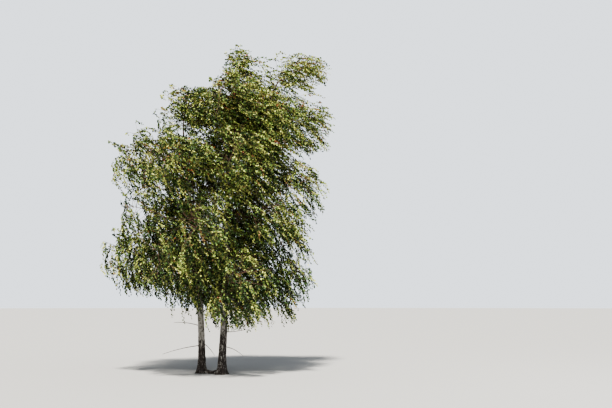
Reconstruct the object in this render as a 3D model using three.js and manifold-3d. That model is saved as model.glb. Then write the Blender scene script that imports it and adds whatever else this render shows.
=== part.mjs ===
// A birch tree with two stems from one root, blown by a wind from the left.
// Millimetres, +Z up, +X to the right and +Y away from the viewer.
// The origin is on the ground, in the middle of the main stem's flat foot.
//
// Two leaning stems stand on a shared root flare. The main stem carries a second leader on its
// right. Boughs leave these in four tiers and end where they enter a mass of foliage. A mass is one
// solid: a stem, the twigs that branch from it, and blades on them that each stand for a spray.

import * as THREE from "three";
import { mergeVertices } from "three/addons/utils/BufferGeometryUtils.js";
import Module from "manifold-3d";

const wasm = await Module();
wasm.setup();

const { lerp, degToRad } = THREE.MathUtils;
const vec = (x, y, z) => new THREE.Vector3(x, y, z);

// Driving dimensions
const HEIGHT = 8000;
const CONTACT_GAP = 0.3;
const LIMB_CLEARANCE = 12;
const SEED = 411;
const GOLDEN_TURN = degToRad(137.5);

// A stem leans from its foot to its tip as a power of the height. Its radius is the bark's, under
// the flare, and the flare is what the root swelling adds at the ground.
const LEAN_POWER = 1.35;
const STEM_TAPER = 0.85;
const STEM_SIDES = 12;
const STEM_RINGS = 12;
const RING_CROWDING = 1.9;
const FLARE_HEIGHT = 130;
const FLARE_LOBES = 5;
const FLARE_LOBE_SHARE = 0.38;
const MAIN_STEM = {
  name: "stem_main", foot: vec(0, 0, 0), tip: vec(160, -40, 6650),
  radius: 90, tipRadius: 17, flare: 66, sway: 26, lobeTurn: 0.3,
};
const LEFT_STEM = {
  name: "stem_left", foot: vec(-460, 280, 0), tip: vec(-1060, 420, 5900),
  radius: 84, tipRadius: 16, flare: 60, sway: 24, lobeTurn: 1.4,
};

// The root flares meet in a low ridge, halfway between the stems. Each half runs past that before it
// is cut flat.
const RIDGE = { startRadius: 112, middleRadius: 62, overlap: 40, sides: 16, segments: 3 };

// The second leader forks off the main stem and climbs to the crown's right-hand top.
const LEADER = {
  name: "leader_right", from: 2450, tip: vec(1160, -70, 6840), radius: 46, tipRadius: 15,
  arch: { out: 0.42, up: 0.52 }, sides: 8, segments: 8, places: 200,
};

// Tiers of foliage round the crown. Seen from above, each reaches so far from its own axis to the
// right, front, left and back. Its masses have half sizes outward, sideways and upward. Each is lifted
// by an amount of its own, so that no layers show and the crown's sides have their notches.
const CROWN_AXIS = vec(-200, 120, 0);
const UPPER_AXIS = vec(380, 60, 0);
const AZIMUTHS = { right: 0, front_right: -58, front_left: -122, left: 180, back_left: 122, back_right: 58 };
const AROUND = Object.keys(AZIMUTHS);
const TIERS = [
  {
    name: "skirt", height: 2150, from: 1130, twist: -10, axis: CROWN_AXIS, places: AROUND,
    lifts: { right: 60, front_right: -60, front_left: 440, left: 640, back_left: 300, back_right: 40 },
    reach: { right: 2460, front: 2120, left: 2880, back: 2200 }, half: [960, 940, 920],
  },
  {
    name: "lower", height: 3400, from: 1780, twist: 14, axis: CROWN_AXIS, places: AROUND,
    lifts: { right: -120, front_right: 200, front_left: -160, left: 240, back_left: 200, back_right: -60 },
    reach: { right: 2340, front: 2420, left: 2620, back: 2440 }, half: [980, 980, 920],
  },
  {
    name: "middle", height: 4760, from: 3060, twist: -14, axis: CROWN_AXIS, places: AROUND,
    lifts: { right: -400, front_right: 160, front_left: 40, left: 420, back_left: 260, back_right: 260 },
    reach: { right: 2780, front: 2220, left: 2940, back: 2240 }, half: [1000, 1000, 880],
  },
  {
    name: "upper", height: 6060, from: 4250, twist: 8, axis: UPPER_AXIS,
    places: AROUND.filter((place) => place !== "left"),
    lifts: { right: -60, front_right: -160, front_left: 300, back_left: 420, back_right: -340 },
    reach: { right: 2360, front: 1700, left: 1840, back: 1740 }, half: [920, 880, 840],
  },
];

// The tops grow straight on from the tips of the stems and the leader. The inner one has a bough.
// The right-hand one streams out along the wind.
const LEANING_UP = vec(0.25, 0, 1).normalize();
const STREAMING = vec(1, 0, 0.3).normalize();
const TOPS = [
  {
    name: "top_main", carrier: "stem_main", centre: vec(200, -20, 7220), half: [500, 560, 780],
    aim: LEANING_UP,
  },
  {
    name: "top_left", carrier: "stem_left", centre: vec(-1080, 400, 6120), half: [1040, 880, 960],
    aim: LEANING_UP,
  },
  {
    name: "top_right", carrier: "leader_right", centre: vec(1600, -60, 7320), half: [1060, 700, 480],
    aim: STREAMING,
  },
  {
    name: "top_inner", carrier: "stem_main", centre: vec(900, 0, 6260), half: [860, 800, 620],
    aim: LEANING_UP, leaves: 5560,
  },
];
const TWIGS_IN_TOP = 9;

// Boughs leave their carrier so far apart in height, and enter their mass inward of and below its
// middle, no nearer to the tier's axis than stated.
const BOUGH = { sides: 5, segments: 4, tipRadius: 13, leastRadius: 19.5, slenderness: 58 };
const BOUGH_ARCH = { out: 0.34, up: 0.72 };
const STAGGER = 95;
const ENTRY = { inward: 0.74, nearest: 240, below: 0.3 };

// Dead limbs low on the stems: height where they leave, azimuth, length, rise over that length, and
// how far their middle is arched up.
const DEAD_LIMBS = [
  { name: "dead_limb_1", stem: "stem_left", height: 1080, azimuth: 176, length: 640, rise: 90, arched: 70 },
  { name: "dead_limb_2", stem: "stem_left", height: 640, azimuth: 188, length: 900, rise: -190, arched: 60 },
  { name: "dead_limb_3", stem: "stem_left", height: 700, azimuth: -20, length: 330, rise: -290, arched: 90 },
  { name: "dead_limb_4", stem: "stem_main", height: 1060, azimuth: 8, length: 620, rise: 60, arched: 40 },
  { name: "dead_limb_5", stem: "stem_main", height: 960, azimuth: -16, length: 520, rise: 55, arched: -30 },
  { name: "dead_limb_6", stem: "stem_main", height: 620, azimuth: 30, length: 560, rise: -240, arched: 110 },
];
const DEAD_LIMB = { sides: 4, segments: 3, radius: 9, tipRadius: 3.5 };

// Foliage. A mass keeps this far from the walls between the masses. Reaches and places are shares of
// the room or the length they belong to, and the parts of an aim are weights.
const WALL_MARGIN = 12;
const MASS_SEED_STEP = 7919;
const MASS_STEM = { sides: 4, segments: 4, reach: 0.6, rise: 0.22, knee: 0.45, end: 0.99 };
const TWIGS_IN_MASS = 7;
const TWIG = {
  radius: 8, tipRadius: 4, sides: 3, least: 120, most: 900, reach: 0.8, straight: 0.94, droop: 0.2,
  first: 0.08, last: 0.96, turnChange: 0.4,
};
const TWIG_AIM = { forward: 0.45, forwardChange: 0.2, upward: 0.3, loose: 0.1 };
const BLADES_ON_TWIG = [0.36, 0.68, 0.985];
const BLADE = {
  length: 920, least: 360, width: 0.55, thickness: 0.018, widest: 0.42, sink: 1, reach: 0.97, shorten: 0.9,
};
const SIDE_BLADE_AIM = { leaving: 0.35, across: 0.4, loose: 1 };
const TIP_BLADE_AIM = { leaving: 0.7, across: 0, loose: 1 };
const END_BLADE_LOOSE = 0.5;
const BLADE_FACE = { change: 0.2, deep: 0.8, up: 0.4 };

// The share of the wind in the way that loose sprays trail.
const WIND_SHARE = { foot: 0.3, top: 0.74 };

const BARK = { color: 0xb9b4a8, roughness: 0.85, metalness: 0 };
const UPPER_BARK = { color: 0x8d8478, roughness: 0.8, metalness: 0 };
const DEAD_WOOD = { color: 0x6f675e, roughness: 0.9, metalness: 0 };
const FOLIAGE = { color: 0x5c7430, roughness: 0.5, metalness: 0 };

// A repeatable stream of numbers from 0 to 1.
function seeded(seed) {
  let state = seed >>> 0;
  return () => {
    state = (state + 0x6d2b79f5) >>> 0;
    let mixed = Math.imul(state ^ (state >>> 15), state | 1);
    mixed = (mixed + Math.imul(mixed ^ (mixed >>> 7), mixed | 61)) ^ mixed;
    return ((mixed ^ (mixed >>> 14)) >>> 0) / 4294967296;
  };
}

function solidOf(geometry) {
  geometry.deleteAttribute("normal");
  geometry.deleteAttribute("uv");
  const merged = mergeVertices(geometry);
  return new wasm.Manifold(new wasm.Mesh({
    numProp: 3,
    vertProperties: merged.attributes.position.array,
    triVerts: new Uint32Array(merged.index.array),
  }));
}

// Of pieces that a cut or a union leaves, only the largest body is kept, with its hollows filled.
function largest(solid) {
  return solid.decompose().reduce((best, body) => (body.volume() > best.volume() ? body : best));
}

function meshOf(name, solid, look) {
  const { vertProperties, triVerts } = solid.getMesh();
  const geometry = new THREE.BufferGeometry()
    .setAttribute("position", new THREE.BufferAttribute(vertProperties, 3))
    .setIndex(new THREE.BufferAttribute(triVerts, 1));
  geometry.computeVertexNormals();
  const mesh = new THREE.Mesh(geometry, new THREE.MeshStandardMaterial(look));
  mesh.name = name;
  return mesh;
}

// A tapering tube along a curve: a cylinder whose rings are set across the curve.
function tube(curve, startRadius, endRadius, sides, segments) {
  const geometry = new THREE.CylinderGeometry(1, 1, 1, sides, segments);
  const frames = curve.computeFrenetFrames(segments);
  const along = curve.getSpacedPoints(segments);
  const position = geometry.attributes.position;
  for (let i = 0; i < position.count; i++) {
    const share = position.getY(i) + 0.5;
    const ring = Math.round(share * segments);
    const radius = lerp(startRadius, endRadius, share);
    const point = along[ring].clone()
      .addScaledVector(frames.binormals[ring], position.getX(i) * radius)
      .addScaledVector(frames.normals[ring], position.getZ(i) * radius);
    position.setXYZ(i, point.x, point.y, point.z);
  }
  return solidOf(geometry);
}

// A point on the centre line of such a tube, which is straight between its rings.
function onTube(curve, segments, share) {
  const along = curve.getSpacedPoints(segments);
  const ring = Math.min(Math.floor(share * segments), segments - 1);
  return along[ring].lerp(along[ring + 1], share * segments - ring);
}

// The stem's centre at a height.
function stemCentre(stem, height) {
  const share = height / stem.tip.z;
  const lean = share ** LEAN_POWER;
  const sway = stem.sway * Math.sin(2 * Math.PI * share);
  return vec(
    lerp(stem.foot.x, stem.tip.x, lean) + sway,
    lerp(stem.foot.y, stem.tip.y, lean) - sway,
    height,
  );
}

// The stem's radius in one direction: a taper, and lobes of root flare that die away upward.
function stemRadius(stem, height, angle) {
  const taper = lerp(stem.tipRadius, stem.radius, (1 - height / stem.tip.z) ** STEM_TAPER);
  const lobes = 1 + FLARE_LOBE_SHARE * Math.cos(FLARE_LOBES * angle + stem.lobeTurn);
  return taper + stem.flare * lobes * Math.exp(-height / FLARE_HEIGHT);
}

// A stem from its flat foot to its flat tip. Its rings are level, and closer together near the foot.
function stemSolid(stem, extra = 0) {
  const geometry = new THREE.CylinderGeometry(1, 1, 1, STEM_SIDES, STEM_RINGS);
  const position = geometry.attributes.position;
  for (let i = 0; i < position.count; i++) {
    const height = stem.tip.z * (position.getY(i) + 0.5) ** RING_CROWDING;
    const [x, y] = [position.getZ(i), position.getX(i)];
    const angle = Math.atan2(y, x);
    const radius = (stemRadius(stem, height, angle) + extra) * Math.hypot(x, y);
    const centre = stemCentre(stem, height);
    position.setXYZ(i, centre.x + radius * Math.cos(angle), centre.y + radius * Math.sin(angle), height);
  }
  return solidOf(geometry);
}

// A stem with its half of the root ridge, which ends flat, just short of the plane between the stems.
function stemWithRidge(stem, other) {
  const toOther = other.foot.clone().sub(stem.foot);
  const half = toOther.length() / 2;
  toOther.normalize();
  const end = stem.foot.clone().addScaledVector(toOther, half + RIDGE.overlap);
  const line = new THREE.LineCurve3(stem.foot, end);
  const ridge = tube(line, RIDGE.startRadius, RIDGE.middleRadius, RIDGE.sides, RIDGE.segments);
  const middle = stem.foot.dot(toOther) + half - CONTACT_GAP / 2;
  return largest(
    stemSolid(stem)
      .add(ridge.trimByPlane([0, 0, 1], 0))
      .trimByPlane(toOther.clone().negate().toArray(), -middle),
  );
}

// The leader and the boughs are arches: out from the carrier, up, and over towards their end.
function arch(start, end, { out, up }) {
  const knee = vec(lerp(start.x, end.x, out), lerp(start.y, end.y, out), lerp(start.z, end.z, up));
  return new THREE.QuadraticBezierCurve3(start, knee, end);
}

// How far the crown reaches in a direction: quarter ellipses between the four named reaches.
function reachAt(reach, angle) {
  const across = Math.cos(angle) > 0 ? reach.right : reach.left;
  const deep = Math.sin(angle) > 0 ? reach.back : reach.front;
  return 1 / Math.hypot(Math.cos(angle) / across, Math.sin(angle) / deep);
}

// A mass of foliage and the space it keeps to: an ellipsoid, with one half size along `out`.
function massOf(settings) {
  const { out, half } = settings;
  return {
    twigs: TWIGS_IN_MASS,
    inward: half[0] * ENTRY.inward,
    ...settings,
    side: vec(-out.y, out.x, 0),
    weight: ((half[0] + half[1] + half[2]) / 3) ** 2,
    walls: [],
  };
}

// The upper tier stands between the main stem and the leader, and the others between the two stems.
function carrierOf(tier, place) {
  if (tier.axis === UPPER_AXIS) return place.includes("right") ? LEADER.name : MAIN_STEM.name;
  if (place === "right" && tier.from > LEADER.from) return LEADER.name;
  return place.includes("left") ? LEFT_STEM.name : MAIN_STEM.name;
}

function tierMasses(tier) {
  return tier.places.map((place, index) => {
    const angle = degToRad(AZIMUTHS[place] + tier.twist);
    const out = vec(Math.cos(angle), Math.sin(angle), 0);
    const distance = reachAt(tier.reach, angle) - tier.half[0];
    const centre = tier.axis.clone().addScaledVector(out, distance);
    centre.z = tier.height + tier.lifts[place];
    return massOf({
      name: `${tier.name}_${place}`,
      carrier: carrierOf(tier, place),
      leaves: tier.from + STAGGER * (AROUND.length - 1 - index),
      inward: Math.min(tier.half[0] * ENTRY.inward, distance - ENTRY.nearest),
      half: tier.half, centre, out, aim: out,
    });
  });
}

function topMass(top) {
  return massOf({ out: vec(1, 0, 0), twigs: TWIGS_IN_TOP, ...top });
}

// Neighbouring masses are parted by flat walls, nearer to the smaller one.
function raiseWalls(masses) {
  for (const mass of masses) {
    for (const other of masses) {
      if (other === mass) continue;
      const across = other.centre.clone().sub(mass.centre);
      const distance = across.length();
      const offset = (other.centre.lengthSq() - mass.centre.lengthSq() + mass.weight - other.weight)
        / (2 * distance);
      mass.walls.push({ normal: across.divideScalar(distance), offset: offset - WALL_MARGIN });
    }
  }
}

// How far a line can run from a point before it leaves the mass's space, or 0 from outside it.
function roomAlong(mass, point, direction) {
  const from = point.clone().sub(mass.centre);
  const axes = [mass.out, mass.side, vec(0, 0, 1)];
  const p = axes.map((axis, i) => from.dot(axis) / mass.half[i]);
  const d = axes.map((axis, i) => direction.dot(axis) / mass.half[i]);
  const dot = (a, b) => a[0] * b[0] + a[1] * b[1] + a[2] * b[2];
  const inside = 1 - dot(p, p);
  let room = 0;
  if (inside > 0) room = (Math.sqrt(dot(p, d) ** 2 + dot(d, d) * inside) - dot(p, d)) / dot(d, d);
  for (const { normal, offset } of mass.walls) {
    const depth = offset - normal.dot(point);
    const speed = normal.dot(direction);
    if (depth <= 0) return 0;
    if (speed > 0) room = Math.min(room, depth / speed);
  }
  return room;
}

function isInside(mass, point) {
  return roomAlong(mass, point, mass.out) > 0;
}

// The way loose sprays trail at a height: down, and more and more along the wind.
function trail(height) {
  const wind = lerp(WIND_SHARE.foot, WIND_SHARE.top, height / HEIGHT);
  return vec(wind, 0, wind - 1).normalize();
}

// A blade's corners: its sunk root and its tip, and its two sides a little lower, so that it has a
// kite's outline and a slight fold along its middle.
function bladeCorners(root, direction, flat, length) {
  const side = flat.clone().cross(direction);
  const corner = (along, across) => root.clone()
    .addScaledVector(direction, along)
    .addScaledVector(side, across * BLADE.width * length / 2)
    .addScaledVector(flat, -Math.abs(across) * BLADE.thickness * length);
  return {
    root: corner(-BLADE.sink, 0), tip: corner(length, 0),
    left: corner(BLADE.widest * length, 1), right: corner(BLADE.widest * length, -1),
  };
}

// A blade is a tetrahedron with its corners moved to the blade's.
function blade(corners) {
  const geometry = new THREE.TetrahedronGeometry(Math.sqrt(3));
  const position = geometry.attributes.position;
  for (let i = 0; i < position.count; i++) {
    const ends = position.getX(i) > 0 ? corners.tip : corners.root;
    const sides = position.getY(i) > 0 ? corners.left : corners.right;
    const point = position.getZ(i) > 0 ? ends : sides;
    position.setXYZ(i, point.x, point.y, point.z);
  }
  return solidOf(geometry);
}

// The stem inside a mass: from where its bough ends, past the middle, to near the far side.
function massStem(mass, start) {
  const first = start.point.clone().addScaledVector(start.heading, CONTACT_GAP);
  const end = mass.centre.clone()
    .addScaledVector(mass.aim, roomAlong(mass, mass.centre, mass.aim) * MASS_STEM.reach)
    .add(vec(0, 0, mass.half[2] * MASS_STEM.rise));
  const knee = first.clone().addScaledVector(start.heading, first.distanceTo(end) * MASS_STEM.knee);
  return new THREE.QuadraticBezierCurve3(first, knee, end);
}

// The way a twig leaves the mass's stem: aside at a turn, a bit upward and forward, and with the wind.
function twigHeading(forward, turn, forwardShare, loose) {
  const level = forward.clone().cross(vec(0, 0, 1)).normalize();
  const upward = level.clone().cross(forward);
  return level.multiplyScalar(Math.cos(turn))
    .addScaledVector(upward, Math.sin(turn) + TWIG_AIM.upward)
    .addScaledVector(forward, forwardShare)
    .addScaledVector(loose, TWIG_AIM.loose)
    .normalize();
}

// One mass. Twigs leave its stem round a golden turn, and each carries blades to both sides and one at
// its tip, that trail in the wind. A blade is shortened until it keeps to the mass's space, clear of
// every limb and blade, and is skipped if too short. So is a twig that would leave or touch a limb.
function foliage(mass, index, start, limbs) {
  const random = seeded(SEED + index * MASS_SEED_STEP);
  const wobble = () => random() * 2 - 1;
  const stem = massStem(mass, start);
  const twigs = [];
  const blades = [];
  const isClear = (solid, others) => others.every((other) => other.intersect(solid).isEmpty());

  const addBlade = (root, wanted, face) => {
    const direction = wanted.normalize();
    const flat = face.addScaledVector(direction, -face.dot(direction)).normalize();
    let length = Math.min(BLADE.length, roomAlong(mass, root, direction) * BLADE.reach);
    for (; length > BLADE.least; length *= BLADE.shorten) {
      const corners = bladeCorners(root, direction, flat, length);
      if (!Object.values(corners).every((corner) => isInside(mass, corner))) continue;
      const made = blade(corners);
      if (!isClear(made, [limbs, ...blades])) continue;
      blades.push(made);
      return;
    }
  };

  for (let i = 0; i < mass.twigs; i++) {
    const share = lerp(TWIG.first, TWIG.last, (i + 0.5) / mass.twigs);
    const root = onTube(stem, MASS_STEM.segments, share);
    const turn = i * GOLDEN_TURN + index + TWIG.turnChange * wobble();
    const forwardShare = TWIG_AIM.forward + TWIG_AIM.forwardChange * wobble();
    const faceChanges = Array.from(BLADES_ON_TWIG, wobble);
    const loose = trail(root.z);
    const leaving = twigHeading(stem.getTangentAt(share), turn, forwardShare, loose);
    const length = Math.min(roomAlong(mass, root, leaving) * TWIG.reach, TWIG.most);
    const tip = root.clone()
      .addScaledVector(leaving, length * TWIG.straight)
      .addScaledVector(loose, length * TWIG.droop);
    if (length < TWIG.least || !isInside(mass, tip)) continue;
    const line = new THREE.LineCurve3(root, tip);
    const twig = tube(line, TWIG.radius, TWIG.tipRadius, TWIG.sides, 1);
    if (!isClear(twig, [limbs])) continue;
    twigs.push(twig);
    const across = leaving.clone().cross(loose).normalize();
    BLADES_ON_TWIG.forEach((at, k) => {
      const aim = k === BLADES_ON_TWIG.length - 1 ? TIP_BLADE_AIM : SIDE_BLADE_AIM;
      const wanted = leaving.clone().multiplyScalar(aim.leaving)
        .addScaledVector(across, aim.across * (-1) ** (i + k))
        .addScaledVector(loose, aim.loose);
      const face = mass.out.clone()
        .add(vec(BLADE_FACE.change * faceChanges[k], -BLADE_FACE.deep * (-1) ** k, BLADE_FACE.up));
      addBlade(line.getPointAt(at), wanted, face);
    });
  }
  const end = onTube(stem, MASS_STEM.segments, MASS_STEM.end);
  addBlade(
    end, mass.aim.clone().addScaledVector(trail(end.z), END_BLADE_LOOSE), mass.out.clone().add(vec(0, 0, 1)),
  );
  const body = tube(stem, BOUGH.tipRadius, TWIG.radius, MASS_STEM.sides, MASS_STEM.segments);
  return largest(wasm.Manifold.union([body, ...twigs, ...blades]));
}

const tree = new THREE.Group();
const addNode = (name, solid, look) => tree.add(meshOf(name, solid, look));

// What carries boughs and dead limbs: the stems, and the leader that forks off the main stem. Each is
// kept a little thicker too, to cut what it carries clear of it.
addNode(MAIN_STEM.name, stemWithRidge(MAIN_STEM, LEFT_STEM), BARK);
addNode(LEFT_STEM.name, stemWithRidge(LEFT_STEM, MAIN_STEM), BARK);
const stems = { [MAIN_STEM.name]: MAIN_STEM, [LEFT_STEM.name]: LEFT_STEM };
const leaderCurve = arch(stemCentre(MAIN_STEM, LEADER.from), LEADER.tip, LEADER.arch);
const leaderSolid = (extra) => tube(
  leaderCurve, LEADER.radius + extra, LEADER.tipRadius + extra, LEADER.sides, LEADER.segments,
);
const cutters = {
  [MAIN_STEM.name]: stemSolid(MAIN_STEM, CONTACT_GAP),
  [LEFT_STEM.name]: stemSolid(LEFT_STEM, CONTACT_GAP),
  [LEADER.name]: leaderSolid(CONTACT_GAP),
};
addNode(LEADER.name, largest(leaderSolid(0).subtract(cutters[MAIN_STEM.name])), UPPER_BARK);

// The point on a carrier's centre line at a height.
function carrierPoint(carrier, height) {
  if (carrier !== LEADER.name) return stemCentre(stems[carrier], height);
  return leaderCurve.getSpacedPoints(LEADER.places).find((point) => point.z >= height);
}

const masses = [...TIERS.flatMap(tierMasses), ...TOPS.map(topMass)];
raiseWalls(masses);

// Limbs that the foliage stays clear of, a little thicker than they are.
const wideLimbs = [
  stemSolid(MAIN_STEM, LIMB_CLEARANCE), stemSolid(LEFT_STEM, LIMB_CLEARANCE), leaderSolid(LIMB_CLEARANCE),
];

// A mass's stem starts at its bough's tip, or at the tip of the stem or leader that carries a top.
const starts = masses.map((mass) => {
  if (!mass.leaves && mass.carrier === LEADER.name) {
    return { point: leaderCurve.getPointAt(1), heading: leaderCurve.getTangentAt(1) };
  }
  if (!mass.leaves) return { point: stems[mass.carrier].tip, heading: vec(0, 0, 1) };
  const entry = mass.centre.clone()
    .addScaledVector(mass.out, -mass.inward)
    .add(vec(0, 0, -mass.half[2] * ENTRY.below));
  const curve = arch(carrierPoint(mass.carrier, mass.leaves), entry, BOUGH_ARCH);
  const radius = Math.max(curve.getLength() / BOUGH.slenderness, BOUGH.leastRadius);
  const bough = (extra) => tube(
    curve, radius + extra, BOUGH.tipRadius + extra, BOUGH.sides, BOUGH.segments,
  );
  addNode(`${mass.name}_bough`, largest(bough(0).subtract(cutters[mass.carrier])), UPPER_BARK);
  wideLimbs.push(bough(LIMB_CLEARANCE));
  return { point: entry, heading: curve.getTangentAt(1) };
});

for (const limb of DEAD_LIMBS) {
  const angle = degToRad(limb.azimuth);
  const start = stemCentre(stems[limb.stem], limb.height);
  const end = start.clone().add(
    vec(limb.length * Math.cos(angle), limb.length * Math.sin(angle), limb.rise),
  );
  const knee = start.clone().lerp(end, 0.5).add(vec(0, 0, limb.arched));
  const curve = new THREE.QuadraticBezierCurve3(start, knee, end);
  const { radius, tipRadius, sides, segments } = DEAD_LIMB;
  const solid = tube(curve, radius, tipRadius, sides, segments).subtract(cutters[limb.stem]);
  addNode(limb.name, largest(solid), DEAD_WOOD);
}

const limbs = wasm.Manifold.union(wideLimbs);
masses.forEach((mass, index) => {
  addNode(`${mass.name}_foliage`, foliage(mass, index, starts[index], limbs), FOLIAGE);
});

export default tree;
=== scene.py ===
"""A birch tree with two stems from one root, its crown blown to the right by the wind.

Metres, +Z up, +X to the right and +Y away from the viewer. The origin is on the ground, in the
middle of the main stem's foot.

Stems, leader, boughs and dead limbs are surfaces of bark. Each mass of foliage grows on from the
tip of a bough, a stem or the leader: a stem of its own, twigs that leave it round a golden turn,
and branchlets that hang from the twigs and turn into the wind. More twigs grow on the boughs, the
stems and the leader inside the crown. A branchlet and the leaves along it are one spray. It has
one tint, and its leaves are up to two steps lighter or darker.
"""

import math
from types import SimpleNamespace

import bpy
import numpy as np
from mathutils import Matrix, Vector


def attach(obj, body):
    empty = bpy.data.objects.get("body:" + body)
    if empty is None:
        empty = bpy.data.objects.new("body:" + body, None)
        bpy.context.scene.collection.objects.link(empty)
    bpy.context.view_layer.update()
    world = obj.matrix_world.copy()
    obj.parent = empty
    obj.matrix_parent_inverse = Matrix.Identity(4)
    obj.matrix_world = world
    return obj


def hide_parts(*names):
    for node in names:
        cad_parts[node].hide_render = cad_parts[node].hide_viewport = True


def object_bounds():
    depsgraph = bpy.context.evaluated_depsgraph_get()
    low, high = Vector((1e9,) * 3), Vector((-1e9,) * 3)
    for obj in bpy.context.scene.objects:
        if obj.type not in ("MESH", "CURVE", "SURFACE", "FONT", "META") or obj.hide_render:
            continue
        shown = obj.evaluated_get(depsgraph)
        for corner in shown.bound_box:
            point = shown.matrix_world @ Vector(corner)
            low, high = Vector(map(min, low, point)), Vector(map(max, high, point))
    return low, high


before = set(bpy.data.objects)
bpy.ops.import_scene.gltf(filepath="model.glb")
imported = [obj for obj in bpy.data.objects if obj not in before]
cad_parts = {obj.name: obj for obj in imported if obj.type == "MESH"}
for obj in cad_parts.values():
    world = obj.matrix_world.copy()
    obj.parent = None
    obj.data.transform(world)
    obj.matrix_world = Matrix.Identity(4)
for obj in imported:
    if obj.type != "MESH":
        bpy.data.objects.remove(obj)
cad_box = np.array([list(corner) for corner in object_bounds()])

# Growth: the rule of the solids, in metres
HEIGHT = 8.0
SEED = 411
GOLDEN_TURN = math.radians(137.5)
UP = np.array([0.0, 0.0, 1.0])
RIGHT = np.array([1.0, 0.0, 0.0])

LEAN_POWER = 1.35
STEM_TAPER = 0.85
FLARE_HEIGHT = 0.13
FLARE_LOBES = 5
FLARE_LOBE_SHARE = 0.38
MAIN_STEM = SimpleNamespace(
    name="stem_main", foot=(0, 0, 0), tip=(0.160, -0.040, 6.650),
    radius=0.090, tip_radius=0.017, flare=0.066, sway=0.026, lobe_turn=0.3, seed=1, old_bark=1.02,
)
LEFT_STEM = SimpleNamespace(
    name="stem_left", foot=(-0.460, 0.280, 0), tip=(-1.060, 0.420, 5.900),
    radius=0.084, tip_radius=0.016, flare=0.060, sway=0.024, lobe_turn=1.4, seed=2, old_bark=0.74,
)
STEMS = {stem.name: stem for stem in (MAIN_STEM, LEFT_STEM)}
RIDGE = SimpleNamespace(
    start_radius=0.112, middle_radius=0.062, lumps=0.06, darkness=0.50, darkness_change=0.3,
)
LEADER = SimpleNamespace(
    name="leader_right", start=2.450, tip=(1.160, -0.070, 6.840), radius=0.046, tip_radius=0.015,
    arch=(0.42, 0.52),
)

# Tiers: height, where boughs start, twist in degrees, axis, how far each direction's mass is
# lifted, reaches to the right, front, left and back, and half sizes of a mass outward, sideways
# and upward
CROWN_AXIS = (-0.200, 0.120)
UPPER_AXIS = (0.380, 0.060)
DIRECTIONS = {
    "right": 0, "front_right": -58, "front_left": -122,
    "left": 180, "back_left": 122, "back_right": 58,
}
TIERS = [
    SimpleNamespace(
        name="skirt", height=2.150, start=1.130, twist=-10, axis=CROWN_AXIS,
        lifts=(0.060, -0.060, 0.440, 0.640, 0.300, 0.040),
        reach=(2.460, 2.120, 2.880, 2.200), half=(0.960, 0.940, 0.920),
    ),
    SimpleNamespace(
        name="lower", height=3.400, start=1.780, twist=14, axis=CROWN_AXIS,
        lifts=(-0.120, 0.200, -0.160, 0.240, 0.200, -0.060),
        reach=(2.340, 2.420, 2.620, 2.440), half=(0.980, 0.980, 0.920),
    ),
    SimpleNamespace(
        name="middle", height=4.760, start=3.060, twist=-14, axis=CROWN_AXIS,
        lifts=(-0.400, 0.160, 0.040, 0.420, 0.260, 0.260),
        reach=(2.780, 2.220, 2.940, 2.240), half=(1.000, 1.000, 0.880),
    ),
    SimpleNamespace(
        name="upper", height=6.060, start=4.250, twist=8, axis=UPPER_AXIS,
        lifts=(-0.060, -0.160, 0.300, 0.000, 0.420, -0.340),
        reach=(2.360, 1.700, 1.840, 1.740), half=(0.920, 0.880, 0.840),
    ),
]
# The masses at the top. `fork` is the height at which the last one's own bough leaves its stem
TOPS = [
    SimpleNamespace(
        name="top_main", carrier="stem_main", centre=(0.200, -0.020, 7.220),
        half=(0.500, 0.560, 0.780), aim=(0.25, 0, 1), fork=None,
    ),
    SimpleNamespace(
        name="top_left", carrier="stem_left", centre=(-1.080, 0.400, 6.120),
        half=(1.040, 0.880, 0.960), aim=(0.25, 0, 1), fork=None,
    ),
    SimpleNamespace(
        name="top_right", carrier="leader_right", centre=(1.600, -0.060, 7.320),
        half=(1.060, 0.700, 0.480), aim=(1, 0, 0.3), fork=None,
    ),
    SimpleNamespace(
        name="top_inner", carrier="stem_main", centre=(0.900, 0, 6.260),
        half=(0.860, 0.800, 0.620), aim=(0.25, 0, 1), fork=5.560,
    ),
]
TWIGS_IN_MASS = 7
TWIGS_IN_TOP = 9

STAGGER = 0.095
ENTRY = SimpleNamespace(inward=0.74, nearest=0.240, below=0.3)
BOUGH_ARCH = (0.34, 0.72)
BOUGH = SimpleNamespace(tip_radius=0.013, least_radius=0.0195, slenderness=58)
DEAD_LIMBS = [
    # stem, height, azimuth, length, rise, how far the middle is arched up
    ("stem_left", 1.080, 176, 0.640, 0.090, 0.070),
    ("stem_left", 0.640, 188, 0.900, -0.190, 0.060),
    ("stem_left", 0.700, -20, 0.330, -0.290, 0.090),
    ("stem_main", 1.060, 8, 0.620, 0.060, 0.040),
    ("stem_main", 0.960, -16, 0.520, 0.055, -0.030),
    ("stem_main", 0.620, 30, 0.560, -0.240, 0.110),
]
DEAD_LIMB = SimpleNamespace(radius=0.009, tip_radius=0.0035)

WALL_MARGIN = 0.012
MASS_SEED_STEP = 7919
MASS_STEM = SimpleNamespace(reach=0.6, rise=0.22, knee=0.45)
TWIG = SimpleNamespace(
    radius=0.008, tip_radius=0.004, least=0.120, most=0.900, reach=0.8, straight=0.94, droop=0.2,
    first=0.08, last=0.96, turn_change=0.4, checked=0.6,
)
TWIG_AIM = SimpleNamespace(forward=0.45, forward_change=0.2, upward=0.3, loose=0.1)
DRAWS_PER_TWIG = 5
WIND_SHARE = (0.3, 0.74)
CURVE_STEPS = 201
LINE_POINTS = SimpleNamespace(stem=160, leader=120, bough=40, dead_limb=24, mass_stem=24)

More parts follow.
